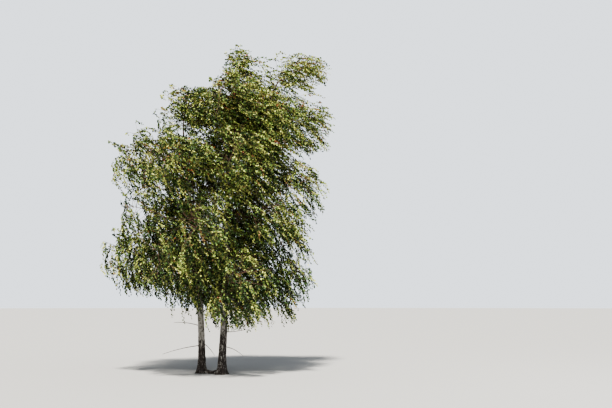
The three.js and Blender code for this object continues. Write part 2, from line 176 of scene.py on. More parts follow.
# Finer growth, which the solids leave out: how many finer twigs a mass has, or else each mass of
# its tier
FINER_TWIGS = {
    "skirt": 16, "skirt_left": 28, "skirt_right": 26, "lower": 11, "lower_right": 20, "middle": 12,
    "upper": 20, "top_main": 20, "top_left": 26, "top_right": 30, "top_inner": 18,
}
FINER = SimpleNamespace(radius=0.005, reach=0.95, turn=2.0)
LIMB_TWIG = SimpleNamespace(
    spacing=0.080, length=(0.30, 1.00), radius=0.0045, edge=0.94, first_in_mass=0.1,
    first_on_bough=0.35, last=0.97, side=(0.3, 1, 0.1), turn_change=0.4, forward=0.5, loose=0.2,
    rounds=9, shorter=0.86,
)
STEM_TWIG = SimpleNamespace(length=(0.40, 1.80), firsts=(0, 0.78))
# Heights between which twigs on the stems and the leader belong to each tier's pieces
BANDS = {
    "skirt": (1.620, 2.6), "lower": (2.6, 3.9), "middle": (3.9, 5.0), "upper": (5.0, 6.2),
    "top": (6.2, HEIGHT),
}

# Sprays. `over` is how far out of the crown their tips may stand. A pair that goes to the function
# ramp is where it starts and how wide it is
CLOSENESS = 5
SPRAY_WIND = (0.16, 0.80)
LEE = SimpleNamespace(side=(0, 2.2), calm=0.42)
SPRAY = SimpleNamespace(
    spacing=0.073, vigour=(0.35, 1.25), fewest=2, from_twig=0.12, leaving=0.60, tip_leaving=1.3,
    across=0.45, loose=0.75, scatter=0.36, late_scatter=0.6, length=(0.28, 0.84), least=0.12,
    radius=0.0022, tip_radius=0.0012, over=(0.80, 1.14), over_change=0.10, rounds=8, shorter=0.82,
)
YOUNG = SimpleNamespace(share=0.46, power=4, shelter=(0.8, 1.2))
HEM = SimpleNamespace(over=0.60, below=(2.50, -0.70), near=(1.80, -0.60), lowest=1.02)
BOX_OVER = 0.050
THIN = SimpleNamespace(
    inner=(0.06, 0.92), rise=(0.50, 0.3), outer=(0, 0.82), lee=0.74, lee_side=(-0.8, 2.4),
    lee_height=(0.25, 0.5),
)
LEAF = SimpleNamespace(
    spacing=0.031, fewest=3, length=(0.042, 0.066), width=0.76, shoulder=0.66, clear=0.028,
    along=0.70, aside=0.90, droop=0.15, scatter=0.2, up=0.45, loose=0.9, outer=0.85,
    outer_size=0.82,
)

# Tints of sprays, from dark to light and then those that have turned: colour, how common it is at
# the foot and at the top, and how much commoner high on the right, by which it is rarer low there.
# Dark greens commoner at the foot and low on the right are painted shade, and light ones commoner
# at the top and high on the right are painted light; tan and rust there are autumn tints
TINTS = {
    "leaf_shade_green": ((0.020, 0.036, 0.012), (1.5, 0.3), -0.8),
    "leaf_deep_green": ((0.040, 0.076, 0.026), (1.5, 0.5), -0.7),
    "leaf_mid_green": ((0.080, 0.131, 0.043), (1.3, 1.1), -0.2),
    "leaf_olive": ((0.172, 0.178, 0.064), (0.6, 1.4), 0.5),
    "leaf_fresh_green": ((0.220, 0.305, 0.088), (0.7, 1.2), 0.1),
    "leaf_yellow_green": ((0.430, 0.465, 0.165), (0.33, 1.0), 0.5),
    "leaf_tan": ((0.250, 0.155, 0.075), (0.12, 0.34), 0.8),
    "leaf_rust": ((0.260, 0.095, 0.045), (0.04, 0.11), 0.8),
}
GREENS = 6
STILL_GREEN = 0.5
TINT_SHIFTS = {-2: 0.12, -1: 0.22, 0: 0.32, 1: 0.22, 2: 0.12}
# Where the tints lean at right: painted shade low on the right, painted light and autumn tints high
# on it
TINT_AND_SHADE_LEAN = SimpleNamespace(side=(-0.2, 2.2), steep=4, below=2.1)
# Painted shade deep in the crown: where it begins, how many of the darkest tints, and how much
# commoner
PAINTED_DEEP_SHADE = SimpleNamespace(place=(0, 0.75), tints=2, more=4)


def lerp(a, b, share):
    """The point or number at a share of the way from a to b."""
    return a + (np.asarray(b) - a) * share


def ramp(values, start, width):
    """0 before start, 1 from a width further on, and a straight line between them.

    With a width below 0 it runs the other way.
    """
    return np.clip((values - start) / width, 0, 1)


def unit(vectors):
    """The vectors at length 1."""
    return vectors / np.linalg.norm(vectors, axis=-1, keepdims=True)


def dot(a, b):
    """Dot products of matching vectors."""
    return np.sum(a * b, axis=-1)


def column(values):
    """Numbers as a column, to scale vectors with."""
    return np.asarray(values)[..., None]


def gaps(points):
    """How far it is from each point of a line to the next."""
    return np.linalg.norm(np.diff(points, axis=0), axis=1)


def between(places, at, points):
    """Points at places along a line whose own points are at the places `at`."""
    return np.stack([np.interp(places, at, line) for line in points.T], axis=1)


def seeded(seed):
    """A repeatable stream of numbers from -1 to 1: a counter, its 32 bits mixed by products."""
    word = 0xFFFFFFFF
    state = seed & word
    while True:
        state = (state + 0x6D2B79F5) & word
        mixed = ((state ^ (state >> 15)) * (state | 1)) & word
        mixed = ((mixed + (mixed ^ (mixed >> 7)) * (mixed | 61)) & word) ^ mixed
        yield 2 * ((mixed ^ (mixed >> 14)) / 2**32) - 1


def stem_centre(stem, height):
    """A stem's middle at heights: foot to tip by a power of the height, and a sway each way."""
    share = np.asarray(height, dtype=float) / stem.tip[2]
    lean = share**LEAN_POWER
    sway = stem.sway * np.sin(2 * np.pi * share)
    x = lerp(stem.foot[0], stem.tip[0], lean) + sway
    y = lerp(stem.foot[1], stem.tip[1], lean) - sway
    return np.stack([x, y, np.asarray(height, dtype=float)], axis=-1)


def stem_radius(stem, height, angle):
    """A stem's radius: a taper by height, plus lobes of root flare that die away upward."""
    taper = lerp(stem.tip_radius, stem.radius, (1 - height / stem.tip[2]) ** STEM_TAPER)
    lobes = 1 + FLARE_LOBE_SHARE * np.cos(FLARE_LOBES * angle + stem.lobe_turn)
    return taper + stem.flare * lobes * np.exp(-height / FLARE_HEIGHT)


def bend(start, knee, end, shares):
    """Points, at equal steps, of a curve from start to end that is drawn towards knee."""
    fine = np.linspace(0, 1, CURVE_STEPS)[:, None]
    points = (1 - fine) ** 2 * start + 2 * fine * (1 - fine) * knee + fine**2 * end
    run = np.concatenate([[0], np.cumsum(gaps(points))])
    return between(shares * run[-1], run, points)


def arch_knee(start, end, arch):
    """The knee of an arch: its shares of the way out and of the way up."""
    out, up = arch
    return lerp(start, end, np.array([out, out, up]))


def blown(wind):
    """The way loose things hang in a share of wind: down at 0, and to the right, along it, at 1."""
    return unit(np.stack([wind, 0 * wind, wind - 1], axis=-1))


def trail(height):
    """The way loose twigs trail at heights: down, and more and more along the wind."""
    return blown(lerp(*WIND_SHARE, np.asarray(height) / HEIGHT))


def streaming(points):
    """The way fine sprays stream: as loose twigs trail, but calmer low on the right, in the lee."""
    height = points[..., 2] / HEIGHT
    lee = ramp(points[..., 0], *LEE.side) * (1 - height**2)
    return blown(lerp(*SPRAY_WIND, height) * (1 - LEE.calm * lee))


# Masses of foliage


def mass_of(name, carrier, centre, half, out, aim, twigs, inward, fork):
    """A mass and the space it keeps to: an ellipsoid, with one half size along `out`.

    Its axes, each divided by its half size, turn a vector from its centre into one whose length is
    1 at the ellipsoid. Its bough leaves its carrier at the height `fork`. Where that is None, the
    mass grows on from the carrier's own tip.
    """
    axes = np.array([out, (-out[1], out[0], 0), UP]) / np.array(half)[:, None]
    return SimpleNamespace(
        name=name, carrier=carrier, centre=np.array(centre, dtype=float), half=np.array(half),
        axes=axes, out=np.array(out, dtype=float), aim=unit(np.array(aim)), twigs=twigs,
        inward=inward, fork=fork, weight=np.mean(half) ** 2, tier=name.split("_")[0],
    )


def reach_at(reach, angle):
    """How far a tier reaches at an angle: quarter ellipses between its four named reaches."""
    right, front, left, back = reach
    across = right if math.cos(angle) > 0 else left
    deep = back if math.sin(angle) > 0 else front
    return 1 / math.hypot(math.cos(angle) / across, math.sin(angle) / deep)


def carrier_of(tier, place):
    """The upper tier stands between main stem and leader, and the others between the two stems."""
    if tier.axis == UPPER_AXIS:
        return LEADER.name if "right" in place else MAIN_STEM.name
    if place == "right" and tier.start > LEADER.start:
        return LEADER.name
    return LEFT_STEM.name if "left" in place else MAIN_STEM.name


def tier_masses(tier):
    """The masses of a tier, one in each direction. The upper tier has none to the left."""
    places = [place for place in DIRECTIONS if not (tier.axis == UPPER_AXIS and place == "left")]
    masses = []
    for index, place in enumerate(places):
        angle = math.radians(DIRECTIONS[place] + tier.twist)
        out = (math.cos(angle), math.sin(angle), 0)
        distance = reach_at(tier.reach, angle) - tier.half[0]
        centre = (
            tier.axis[0] + out[0] * distance,
            tier.axis[1] + out[1] * distance,
            tier.height + dict(zip(DIRECTIONS, tier.lifts))[place],
        )
        masses.append(mass_of(
            f"{tier.name}_{place}", carrier_of(tier, place), centre, tier.half, out, out,
            TWIGS_IN_MASS, min(tier.half[0] * ENTRY.inward, distance - ENTRY.nearest),
            tier.start + STAGGER * (len(DIRECTIONS) - 1 - index),
        ))
    return masses


def raise_walls(masses):
    """Flat walls between masses, nearer to the smaller one. Each gets their normals and offsets."""
    for mass in masses:
        others = [other for other in masses if other is not mass]
        across = np.array([other.centre for other in others]) - mass.centre
        distance = np.linalg.norm(across, axis=1)
        weights = np.array([other.weight for other in others])
        squares = np.array([other.centre @ other.centre for other in others])
        mass.walls = across / distance[:, None]
        powers = squares - mass.centre @ mass.centre + mass.weight - weights
        mass.offsets = powers / (2 * distance) - WALL_MARGIN


def room_along(mass, points, directions):
    """How far lines run from points before they leave a mass's space, or 0 from outside it."""
    p = (points - mass.centre) @ mass.axes.T
    d = directions @ mass.axes.T
    inside = 1 - dot(p, p)
    slope = dot(p, d)
    root = np.sqrt(np.maximum(slope**2 + dot(d, d) * inside, 0))
    room = np.where(inside > 0, (root - slope) / dot(d, d), 0)
    depth = mass.offsets - points @ mass.walls.T
    speed = directions @ mass.walls.T
    ahead = np.where(speed > 0, depth / np.where(speed > 0, speed, 1), np.inf)
    return np.where(depth.min(axis=1) <= 0, 0, np.minimum(room, ahead.min(axis=1)))


def crown_place(points, masses):
    """How far out points are: 0 in the middle of a mass and 1 at the edge of the crown.

    A soft minimum of the distances in the masses' own axes, so that gaps between neighbours close.
    """
    places = np.array([
        np.linalg.norm((points - mass.centre) @ mass.axes.T, axis=1) for mass in masses
    ])
    return -np.log(np.exp(-CLOSENESS * places).sum(axis=0)) / CLOSENESS


# Limbs: a centre line with a radius at each of its points


def limb(name, points, radii):
    """A limb along points, with the way it runs at each of them."""
    ways = unit(np.gradient(points, axis=0))
    return SimpleNamespace(name=name, points=points, radii=radii, ways=ways)


def stem_limb(stem):
    """A stem's centre line, for what grows from it and what keeps clear of it."""
    heights = np.linspace(0, stem.tip[2], LINE_POINTS.stem)
    return limb(stem.name, stem_centre(stem, heights), stem_radius(stem, heights, 0.0))


def leader_limb():
    """The leader: an arch from the main stem to the right-hand top."""
    start = stem_centre(MAIN_STEM, LEADER.start)
    end = np.array(LEADER.tip)
    shares = np.linspace(0, 1, LINE_POINTS.leader)
    points = bend(start, arch_knee(start, end, LEADER.arch), end, shares)
    return limb(LEADER.name, points, lerp(LEADER.radius, LEADER.tip_radius, shares))


def bough_limb(mass, carrier):
    """A bough: an arch from its carrier to a place inward of and below its mass's middle."""
    start = carrier.points[np.argmax(carrier.points[:, 2] >= mass.fork)]
    end = mass.centre - mass.out * mass.inward - UP * mass.half[2] * ENTRY.below
    shares = np.linspace(0, 1, LINE_POINTS.bough)
    points = bend(start, arch_knee(start, end, BOUGH_ARCH), end, shares)
    radius = max(gaps(points).sum() / BOUGH.slenderness, BOUGH.least_radius)
    return limb(f"{mass.name}_bough", points, lerp(radius, BOUGH.tip_radius, shares))


def dead_limb(number, stem_name, height, azimuth, length, rise, arched):
    """A dead limb: a bend from the stem, out at an azimuth, with its middle arched up."""
    angle = math.radians(azimuth)
    start = stem_centre(STEMS[stem_name], height)
    end = start + np.array([length * math.cos(angle), length * math.sin(angle), rise])
    shares = np.linspace(0, 1, LINE_POINTS.dead_limb)
    points = bend(start, (start + end) / 2 + UP * arched, end, shares)
    return limb(f"dead_limb_{number}", points, lerp(DEAD_LIMB.radius, DEAD_LIMB.tip_radius, shares))


def mass_stem(mass, carrier):
    """The stem inside a mass: on from its carrier's tip, past the middle, to near the far side."""
    first = carrier.points[-1]
    heading = UP if carrier.name in STEMS else carrier.ways[-1]
    room = room_along(mass, mass.centre[None], mass.aim[None])[0]
    end = mass.centre + mass.aim * room * MASS_STEM.reach + UP * mass.half[2] * MASS_STEM.rise
    knee = first + heading * np.linalg.norm(end - first) * MASS_STEM.knee
    shares = np.linspace(0, 1, LINE_POINTS.mass_stem)
    points = bend(first, knee, end, shares)
    return limb(mass.name, points, lerp(carrier.radii[-1], TWIG.tip_radius, shares))


# Twigs, sprays and leaves, as arrays of roots and directions


def pick(group, kept):
    """The same group of arrays, with only the rows that are kept."""
    return SimpleNamespace(**{name: values[kept] for name, values in vars(group).items()})


def joined(groups):
    """Groups of arrays end to end."""
    return SimpleNamespace(**{
        name: np.concatenate([getattr(group, name) for group in groups]) for name in vars(groups[0])
    })


def numbered(counts):
    """Whose each thing is, and its number from 0 up, where each owner has its count of things."""
    owner = np.repeat(np.arange(len(counts)), counts)
    step = np.arange(len(owner)) - np.repeat(np.cumsum(counts) - counts, counts)
    return owner, step


def clearance(points, limbs, at_a_time=4000):
    """How far points are from the surface of the nearest of the limbs."""
    lines = np.concatenate([each.points for each in limbs]).astype(np.float32)
    radii = np.concatenate([each.radii for each in limbs]).astype(np.float32)
    nearest = []
    for block in np.array_split(points.astype(np.float32), max(1, len(points) // at_a_time)):
        squares = (block**2).sum(axis=1)[:, None] + (lines**2).sum(axis=1) - 2 * block @ lines.T
        nearest.append((np.sqrt(np.maximum(squares, 0)) - radii).min(axis=1))
    return np.concatenate(nearest)


def twigs_of(mass, index, stem, count, stream, radius, reach, limbs):
    """Twigs round a mass's stem: each leaves at the next golden turn, a bit upward and forward.

    The room before the mass's walls sets their length, and the wind bends them a little. A twig
    that would leave the space or touch a limb is skipped.
    """
    draws = np.array([next(stream) for _ in range(count * DRAWS_PER_TWIG)]).reshape(count, -1)
    steps = np.arange(count)
    shares = lerp(TWIG.first, TWIG.last, (steps + 0.5) / count)
    places = shares * (len(stem.points) - 1)
    roots = between(places, np.arange(len(stem.points)), stem.points)
    ways = stem.ways[np.round(places).astype(int)]
    turns = steps * GOLDEN_TURN + index + TWIG.turn_change * draws[:, 0]
    loose = trail(roots[:, 2])
    level = unit(np.cross(ways, UP))
    upward = np.cross(level, ways)
    leaving = unit(
        level * column(np.cos(turns))
        + upward * column(np.sin(turns) + TWIG_AIM.upward)
        + ways * column(TWIG_AIM.forward + TWIG_AIM.forward_change * draws[:, 1])
        + loose * TWIG_AIM.loose
    )
    length = np.minimum(room_along(mass, roots, leaving) * reach, TWIG.most)
    tips = roots + leaving * column(length * TWIG.straight) + loose * column(length * TWIG.droop)
    middles = lerp(roots, tips, TWIG.checked)
    kept = (length > TWIG.least) & (room_along(mass, tips, leaving) > 0)
    kept &= np.minimum(clearance(tips, limbs), clearance(middles, limbs)) > radius
    return SimpleNamespace(roots=roots[kept], tips=tips[kept], radii=np.full(kept.sum(), radius))


def limb_twigs(grower, first, length, random):
    """Twigs round a limb inside the crown: every so far along it, at the next golden turn.

    They are shortened until their tips are inside the crown's edge.
    """
    shares = np.arange(first, LIMB_TWIG.last, LIMB_TWIG.spacing / gaps(grower.points).sum())
    at = np.round(shares * (len(grower.points) - 1)).astype(int)
    ways = grower.ways[at]
    level = unit(np.cross(ways, LIMB_TWIG.side))
    other = np.cross(ways, level)
    change = random.uniform(-LIMB_TWIG.turn_change, LIMB_TWIG.turn_change, len(at))
    turns = np.arange(len(at)) * GOLDEN_TURN + change
    leaving = unit(
        level * column(np.cos(turns))
        + other * column(np.sin(turns))
        + ways * LIMB_TWIG.forward
        + trail(grower.points[at, 2]) * LIMB_TWIG.loose
    )
    roots = grower.points[at]
    reach = random.uniform(*length, len(at))
    for _ in range(LIMB_TWIG.rounds):
        outside = crown_place(roots + leaving * column(reach), masses) > LIMB_TWIG.edge
        reach = np.where(outside, reach * LIMB_TWIG.shorter, reach)
    tips = roots + leaving * column(reach + grower.radii[at])
    return SimpleNamespace(roots=roots, tips=tips, radii=np.full(len(at), LIMB_TWIG.radius))


def sprays_on(twigs, random):
    """Branchlets on twigs: every so far along a twig, to alternate sides and always at its tip.

    Each starts partly the twig's way and partly across, and turns into the wind's trail. Towards
    the top they are shorter and closer, but not in the shelter of the right-hand side. How far out
    of the crown their tips may stand changes from twig to twig, and is most at the hem round the
    stems.
    """
    spans = twigs.tips - twigs.roots
    lengths = np.linalg.norm(spans, axis=1)
    vigour = random.uniform(*SPRAY.vigour, len(lengths))
    exposed = 1 - ramp(twigs.roots[:, 0], *YOUNG.shelter)
    young = lerp(1, YOUNG.share, (twigs.roots[:, 2] / HEIGHT) ** YOUNG.power * exposed)
    counts = np.round(lengths * vigour / young / SPRAY.spacing).astype(int)
    counts = np.maximum(SPRAY.fewest, counts)
    owner, step = numbered(counts)
    shares = lerp(SPRAY.from_twig, 1.0, (step + 1) / counts[owner])
    roots = twigs.roots[owner] + spans[owner] * column(shares)
    leaving = unit(spans)[owner]
    loose = streaming(roots)
    hand = np.where(step % 2 == 0, 1.0, -1.0)
    across = unit(np.cross(leaving, loose))
    scatter = random.normal(0, SPRAY.scatter, (2, len(owner), 3))
    onward = np.where(step + 1 == counts[owner], SPRAY.tip_leaving, SPRAY.leaving)
    first = unit(
        leaving * column(onward)
        + across * column(hand * SPRAY.across)
        + loose * SPRAY.loose
        + scatter[0]
    )
    last = unit(loose + scatter[1] * SPRAY.late_scatter)
    over = random.uniform(*SPRAY.over, len(lengths))[owner]
    over += random.uniform(-SPRAY.over_change, SPRAY.over_change, len(owner))
    from_axis = np.linalg.norm(roots[:, :2] - CROWN_AXIS, axis=1)
    over += HEM.over * ramp(roots[:, 2], *HEM.below) * ramp(from_axis, *HEM.near)
    length = random.uniform(*SPRAY.length, len(owner)) * young[owner]
    return SimpleNamespace(roots=roots, first=first, last=last, length=length, over=over)


def spray_points(sprays, shares):
    """Points on branchlets: root + length * (first * (s - s*s/2) + last * s*s/2), a steady turn."""
    s = np.broadcast_to(np.asarray(shares), (len(sprays.roots), np.shape(shares)[-1]))[..., None]
    turn = sprays.first[:, None] * (s - s * s / 2) + sprays.last[:, None] * (s * s / 2)
    return sprays.roots[:, None] + sprays.length[:, None, None] * turn


def stands_out(sprays):
    """Which branchlets have tips too far out of the crown or of the solids' box, or too low."""
    tips = spray_points(sprays, [1.0])[:, 0]
    past_box = (tips < cad_box[0] - BOX_OVER) | (tips > cad_box[1] + BOX_OVER)
    past_crown = crown_place(tips, masses) > sprays.over
    return past_crown | past_box.any(axis=1) | (tips[:, 2] < HEM.lowest)


def keep_inside(sprays):
    """Shortens branchlets until their tips no longer stand out, and drops the shortest.

    Those of some twigs have to stay well inside the crown's edge and those of others may stand out
    of it, so that it has tufts and doesn't look clipped.
    """
    for _ in range(SPRAY.rounds):
        sprays.length = np.where(stands_out(sprays), sprays.length * SPRAY.shorter, sprays.length)
    return pick(sprays, ~stands_out(sprays) & (sprays.length > SPRAY.least))


def thinned(sprays, random):
    """Sprays with most of those deep in the crown left out, because leaves grow where the light is.

    Fewer of them are left out from half the height up, and some of all of them high on the right.
    """
    middles = spray_points(sprays, [0.5])[:, 0]
    height = middles[:, 2] / HEIGHT
    inner = lerp(*THIN.inner, ramp(height, *THIN.rise))
    share = lerp(inner, 1.0, ramp(crown_place(middles, masses), *THIN.outer))
    lee = ramp(middles[:, 0], *THIN.lee_side) * ramp(height, *THIN.lee_height)
    share = share * lerp(1, THIN.lee, lee)
    return pick(sprays, random.uniform(0, 1, len(share)) < share)


def leaves_on(sprays, limbs, random):
    """Leaves to both sides of branchlets, every so far along, and one at each tip.

    A leaf points along its branchlet, aside and a bit down, and turns its face up or anyhow. Leaves
    near a branchlet's tip are smaller. One that would touch a limb is skipped.
    """
    counts = np.maximum(LEAF.fewest, np.round(sprays.length / LEAF.spacing).astype(int))
    owner, step = numbered(counts)
    shares = (step + 1) / counts[owner]
    picked = pick(sprays, owner)
    roots = spray_points(picked, shares[:, None])[:, 0]
    way = unit(picked.first * column(1 - shares) + picked.last * column(shares))
    noise = random.normal(0, 1, (2, len(owner), 3))
    aside = unit(np.cross(way, noise[0]))
    direction = unit(
        way * LEAF.along + aside * LEAF.aside - UP * LEAF.droop + noise[1] * LEAF.scatter
    )
    facing = unit(UP * LEAF.up + noise[1] * LEAF.loose)
    facing = unit(facing - direction * column(dot(facing, direction)))
    size = np.where(shares > LEAF.outer, LEAF.outer_size, 1.0)
    length = random.uniform(*LEAF.length, len(owner)) * size
    shift = random.choice(list(TINT_SHIFTS), len(owner), p=list(TINT_SHIFTS.values()))
    green = np.clip(picked.tint + shift, 0, GREENS - 1)
    turned = (picked.tint >= GREENS) & (random.uniform(0, 1, len(owner)) > STILL_GREEN)
    tint = np.where(turned, picked.tint, green)
    leaves = SimpleNamespace(
        roots=roots, direction=direction, facing=facing, length=length, tint=tint,
    )
    middles = roots + direction * column(length / 2)
    return pick(leaves, clearance(middles, limbs) > LEAF.clear)


def deal_tints_and_painted_shade(sprays, random):
    """A tint for each spray, by weights that change with height and lean either way at right.

    Darker greens at the foot and lighter ones at the top are painted shade and painted light, and
    so is the lean of the greens at right; that of tan and rust is autumn colour. Sprays deep in the
    crown are mostly of the darkest tints, the more so the lower they are: painted shade, partly
    also the darker green of shade leaves.
    """
    high = np.clip(sprays.roots[:, 2] / HEIGHT, 0, 1)[:, None]
    right = ramp(sprays.roots[:, 0], *TINT_AND_SHADE_LEAN.side)[:, None]
    right = right * np.clip(high * TINT_AND_SHADE_LEAN.steep - TINT_AND_SHADE_LEAN.below, -1, 1)
    foot, top = (np.array([often[end] for _, often, _ in TINTS.values()]) for end in (0, 1))
    lean = np.array([more for _, _, more in TINTS.values()])
    # Painted shade at the foot and low on the right, painted light at the top and high on the right
    weights = lerp(foot, top, high) * (1 + lean * right)
    # Painted shade: the darkest tints far commoner deep in the crown, the more so low down
    deep = 1 - ramp(crown_place(sprays.roots, masses), *PAINTED_DEEP_SHADE.place)[:, None]
    weights[:, :PAINTED_DEEP_SHADE.tints] *= 1 + PAINTED_DEEP_SHADE.more * deep * (1 - high)
    steps = np.cumsum(weights, axis=1)
    return (random.uniform(0, 1, (len(high), 1)) * steps[:, -1:] > steps).sum(axis=1)


# Meshes


def grid_faces(rows, columns, closed=True):
    """Four-sided faces between rows of points, which close into rings or stay open."""
    steps = np.arange(columns if closed else columns - 1)
    i, j = np.meshgrid(np.arange(rows - 1), steps, indexing="ij")
    after = (j + 1) % columns
    near = i * columns
    far = near + columns
    corners = [near + j, near + after, far + after, far + j]
    return np.stack([corner.ravel() for corner in corners], axis=1)


def tube_faces(rows, columns):
    """Faces of a tube of rings: its wall, and a flat face at its foot and at its tip."""
    foot = np.arange(columns)[::-1][None]
    tip = (np.arange(columns) + (rows - 1) * columns)[None]
    return [grid_faces(rows, columns), foot, tip]


def repeated(faces, count, size):
    """One shape's faces for each of many such shapes, whose points follow each other."""
    starts = (np.arange(count) * size)[:, None, None]
    return (faces[None] + starts).reshape(-1, faces.shape[1])


def angles(count):
    """Angles at equal steps round a full turn."""
    return np.arange(count) * 2 * np.pi / count


def ring_frames(points, steep=0.3):
    """Two vectors across each line at each of its points, from one side vector for the whole line.

    That is level and square to the line. A steep line takes the one to the right.
    """
    ways = unit(np.gradient(points, axis=-2))
    whole = points[..., -1, :] - points[..., 0, :]
    level = np.cross(whole, UP)
    run, level_run = (np.linalg.norm(line, axis=-1, keepdims=True) for line in (whole, level))
    side = np.where(level_run < steep * run, RIGHT, level)[..., None, :]
    across = unit(side - ways * column(dot(side, ways)))
    return across, np.cross(ways, across)


def tubes(points, radii, sides):
    """Tubes along many lines at once: rings across each, closed by a flat face at both ends."""
    count, rings = radii.shape
    across, other = ring_frames(points)
    angle = angles(sides)
    ring = across[:, :, None] * column(np.cos(angle)) + other[:, :, None] * column(np.sin(angle))
    vertices = (points[:, :, None] + ring * radii[:, :, None, None]).reshape(-1, 3)
    return vertices, [repeated(faces, count, rings * sides) for faces in tube_faces(rings, sides)]


LEAF_FACES = np.array([(0, 1, 3), (1, 4, 3), (1, 2, 4), (0, 5, 1), (1, 5, 6), (1, 6, 2)])


def leaf_mesh(leaves):
    """Leaves of six faces: a pointed oval with its widest part below the middle, folded on its rib.

    A corner is root + length * (along * direction + across * side + lift * facing).
    """
    side = np.cross(leaves.facing, leaves.direction)
    half = LEAF.width / 2
    shoulder = half * LEAF.shoulder
    corners = np.array([
        (0, 0, 0), (0.50, 0, -0.05), (1, 0, -0.16),
        (0.32, half, 0.05), (0.68, shoulder, 0.01), (0.32, -half, 0.05), (0.68, -shoulder, 0.01),
    ])
    along, across, lift = (corners[:, i][None, :, None] for i in range(3))
    shape = (
        leaves.direction[:, None] * along + side[:, None] * across + leaves.facing[:, None] * lift
    )
    vertices = leaves.roots[:, None] + shape * leaves.length[:, None, None]
    return vertices.reshape(-1, 3), [repeated(LEAF_FACES, len(leaves.roots), len(corners))]


def combined(parts):
    """Several lots of vertices and faces as one lot."""
    vertices = []
    groups = []
    first = 0
    for points, faces in parts:
        groups += [group + first for group in faces]
        vertices.append(points)
        first += len(points)
    return np.concatenate(vertices), groups


def linked(name, data):
    """A new object in the scene."""
    made = bpy.data.objects.new(name, data)
    bpy.context.scene.collection.objects.link(made)
    return made


def piece(name, vertices, groups, materials, nodes, slot, smooth=True, tint=None, **attributes):
    """A mesh object from arrays, which stands for CAD nodes and rides on the one body."""
    sizes = np.concatenate([np.full(len(group), group.shape[1]) for group in groups])
    corners = np.concatenate([group.ravel() for group in groups])
    mesh = bpy.data.meshes.new(name)
    mesh.vertices.add(len(vertices))
    mesh.vertices.foreach_set("co", vertices.astype(np.float32).ravel())
    mesh.loops.add(len(corners))
    mesh.loops.foreach_set("vertex_index", corners.astype(np.int32))
    mesh.polygons.add(len(sizes))
    mesh.polygons.foreach_set("loop_start", (np.cumsum(sizes) - sizes).astype(np.int32))
    mesh.polygons.foreach_set("use_smooth", np.full(len(sizes), smooth))
    if tint is not None:
        mesh.polygons.foreach_set("material_index", tint.astype(np.int32))
    for key, values in attributes.items():
        kept = mesh.attributes.new(key, "FLOAT", "POINT")
        kept.data.foreach_set("value", values.astype(np.float32))
    mesh.update(calc_edges=True)
    for material in materials:
        mesh.materials.append(material)
    made = linked(name, mesh)
    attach(made, "root")
    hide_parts(*nodes)


# Bark


BARK = SimpleNamespace(
    fissure=0.0095, crack_width=0.62, plate_rise=0.5, plate_dark=0.34, ring=0.0011,
    edge_change=0.20, edge_fade=0.10, above=0.22, above_fade=3.0, slimmest=0.15, closer_rows=1.7,
)
COLLAR = SimpleNamespace(swell=0.25, fade=0.05)
# Points round a limb and along it, and how knotty it is
LIMB_BARK = SimpleNamespace(leader=(28, 260, 0.02), bough=(14, 56, 0.03), dead_limb=(8, 36, 0.08))


def ripples(angle, height, seed, count, around, upward):
    """A smooth random function of angle and height: cosine waves that close round the stem."""
    random = np.random.default_rng(seed)
    waves = random.integers(-around, around + 1, count)
    climbs = random.uniform(-upward, upward, count)
    phases = random.uniform(0, 2 * np.pi, count)
    total = sum(np.cos(w * angle + c * height + p) for w, c, p in zip(waves, climbs, phases))
    return total / math.sqrt(count / 2)


def bark_relief(stem, angle, height):
    """How far bark stands out, and how dark it is, by angle and height.

    At the foot, cracks run where a random function crosses zero, with dark plates between them.
    They fade away upward. Above, bark is smooth with slight rings.
    """
    plates = ripples(angle, height, stem.seed, count=40, around=15, upward=34)
    rings = ripples(angle, height, stem.seed + 50, count=12, around=2, upward=60)
    edge = ripples(angle, height, stem.seed + 90, count=10, around=4, upward=7)
    old_to = stem.old_bark * (1 + BARK.edge_change * edge)
    old = 1 / (1 + np.exp((height - old_to) / BARK.edge_fade))
    old = old + BARK.above * np.exp(-height / BARK.above_fade) * (1 - old)
    crack = np.exp(-((plates / BARK.crack_width) ** 2)) * old
    relief = BARK.fissure * (BARK.plate_rise * old - crack) + BARK.ring * rings
    return relief, lerp(BARK.plate_dark * old, 1, crack)


def stem_surface(stem, columns=96, rows=460):
    """A stem's bark: its radius plus relief, by angle and height, with rows closer at the foot."""
    height = stem.tip[2] * np.linspace(0, 1, rows)[:, None] ** BARK.closer_rows
    angle = angles(columns)[None]
    radius = stem_radius(stem, height, angle)
    relief, crack = bark_relief(stem, angle, height)
    radius = radius + relief * np.clip(radius / stem.radius, BARK.slimmest, 1)
    centre = stem_centre(stem, height[:, 0])[:, None]
    ring = np.stack([np.cos(angle), np.sin(angle), 0 * angle], axis=-1)
    vertices = (centre + ring * radius[..., None]).reshape(-1, 3)
    return vertices, tube_faces(rows, columns), radius.ravel(), crack.ravel()


